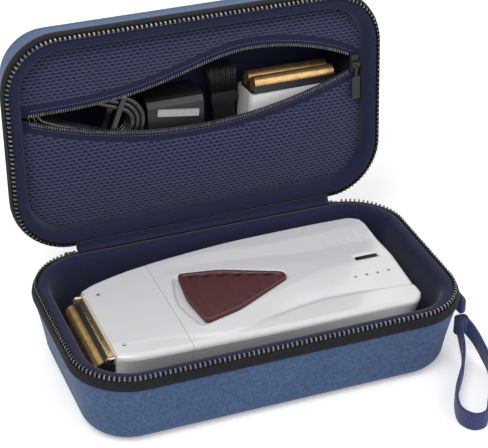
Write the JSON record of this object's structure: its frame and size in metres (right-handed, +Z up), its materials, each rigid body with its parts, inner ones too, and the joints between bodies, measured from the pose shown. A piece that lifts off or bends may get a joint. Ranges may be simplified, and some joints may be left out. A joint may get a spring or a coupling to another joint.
{
  "type": "electric shaver hard case",
  "caption": "Moulded zip case standing open, with a foil shaver in its tray and a spare head, brush, mains adapter and coiled lead in the lid's netting pocket; wrist strap at one end.",
  "frame": {"origin": "centre of the base's flat underside, on the surface it stands on", "axes": "+X along the case from the shaver's foils to its tail, +Y from the front to the hinge, +Z up"},
  "size_m": [0.208, 0.2016, 0.155],
  "materials": {
    "shell_cloth": "woven blue cloth over moulded foam",
    "lining": "brushed navy tricot",
    "zip_tape": "woven black tape",
    "zip_metal": "bright metal",
    "webbing": "woven navy webbing",
    "netting": "navy netting",
    "white_plastic": "glossy",
    "grey_plastic": "satin",
    "black_plastic": "fine texture",
    "black_rubber": "smooth, slightly glossy",
    "bristle": "nylon bristle tufts",
    "foil_gold": "perforated foil",
    "pin_metal": "bright metal",
    "switch_maroon": "matt",
    "smoke_lens": "glossy",
    "cell_wrap": "shrink wrap",
    "board_green": "solder mask"
  },
  "bodies": {
    "base": {"base_shell": "shell_cloth", "base_lining": "lining", "base_zip_tape": "zip_tape", "base_zip_teeth": "zip_metal", "hinge_flap_base": "shell_cloth", "strap_tab": "webbing", "zip_slider_left": "zip_metal", "zip_slider_right": "zip_metal"},
    "lid": {"lid_shell": "shell_cloth", "lid_lining": "lining", "lid_zip_tape": "zip_tape", "lid_zip_teeth": "zip_metal", "hinge_flap_lid": "shell_cloth", "pocket_upper_panel": "netting", "pocket_lower_panel": "netting", "pocket_zip_upper": "lining", "pocket_zip_lower": "lining", "pocket_zip_slider": "zip_metal", "spare_head_shell": "white_plastic", "spare_foil_carrier": "black_plastic", "spare_foils": "foil_gold", "brush_handle": "black_plastic", "brush_bristles": "bristle", "adapter_body": "black_plastic", "adapter_latch": "grey_plastic", "adapter_pins": "pin_metal", "adapter_relief": "black_rubber", "lead_tail": "black_rubber", "lead_hank": "black_rubber", "lead_tie": "black_rubber", "lead_end": "black_rubber", "lead_plug": "black_rubber"},
    "shaver": {"upper_cover": "white_plastic", "top_panel": "white_plastic", "lower_cover": "grey_plastic", "cover_screws": "pin_metal", "head_shell": "white_plastic", "foil_carrier": "black_plastic", "charge_light": "smoke_lens", "motor": "pin_metal", "battery": "cell_wrap", "circuit_board": "board_green", "charge_socket": "black_plastic"},
    "left_pull": {"zip_pull_left": "zip_metal"},
    "right_pull": {"zip_pull_right": "zip_metal"},
    "pocket_pull": {"pocket_zip_pull": "zip_metal"},
    "strap": {"wrist_strap": "webbing"},
    "switch": {"thumb_switch": "switch_maroon"},
    "foil_top": {"foil_upper": "foil_gold"},
    "foil_bottom": {"foil_lower": "foil_gold"},
    "cutter_top": {"cutter_upper": "pin_metal"},
    "cutter_bottom": {"cutter_lower": "pin_metal"},
    "drive": {"drive_fork": "black_plastic"}
  },
  "joints": [
    {"name": "lid_hinge", "type": "hinge", "parent": "base", "child": "lid", "pos_m": [0, 0.0572, 0.042], "axis": [-1, 0, 0], "range_deg": [-96, 0]},
    {"name": "shaver_lift", "type": "slide", "parent": "base", "child": "shaver", "axis": [0, 0, 1], "range_m": [0, 0.045]},
    {"name": "switch_slide", "type": "slide", "parent": "shaver", "child": "switch", "axis": [-1, 0, 0], "range_m": [0, 0.004]},
    {"name": "foil_top_float", "type": "slide", "parent": "shaver", "child": "foil_top", "axis": [1, 0, 0], "range_m": [0, 0.0012], "stiffness_N_per_m": 800, "springref_m": -0.001},
    {"name": "foil_bottom_float", "type": "slide", "parent": "shaver", "child": "foil_bottom", "axis": [1, 0, 0], "range_m": [0, 0.0012], "stiffness_N_per_m": 800, "springref_m": -0.001},
    {"name": "drive_shuttle", "type": "slide", "parent": "shaver", "child": "drive", "axis": [0, 1, 0], "range_m": [-0.001, 0.001]},
    {"name": "cutter_top_shuttle", "type": "slide", "parent": "foil_top", "child": "cutter_top", "axis": [0, 1, 0], "range_m": [-0.001, 0.001]},
    {"name": "cutter_bottom_shuttle", "type": "slide", "parent": "foil_bottom", "child": "cutter_bottom", "axis": [0, 1, 0], "range_m": [-0.001, 0.001]},
    {"name": "left_pull_swing", "type": "hinge", "parent": "base", "child": "left_pull", "pos_m": [-0.0712, 0.0607, 0.0371], "axis": [1, 0, 0], "range_deg": [0, 45]},
    {"name": "right_pull_swing", "type": "hinge", "parent": "base", "child": "right_pull", "pos_m": [0.0712, 0.0607, 0.0371], "axis": [1, 0, 0], "range_deg": [0, 45]},
    {"name": "pocket_pull_swing", "type": "hinge", "parent": "lid", "child": "pocket_pull", "pos_m": [0.0867, 0.06875, 0.11364], "axis": [-1, 0, 0], "range_deg": [0, 60]},
    {"name": "strap_swivel", "type": "hinge", "parent": "base", "child": "strap", "pos_m": [0.099, -0.034, 0.018], "axis": [0, 0, 1], "range_deg": [0, 90]}
  ],
  "couplings": [
    {"joint": "cutter_top_shuttle", "follows": "drive_shuttle", "ratio": 1},
    {"joint": "cutter_bottom_shuttle", "follows": "drive_shuttle", "ratio": 1}
  ]
}
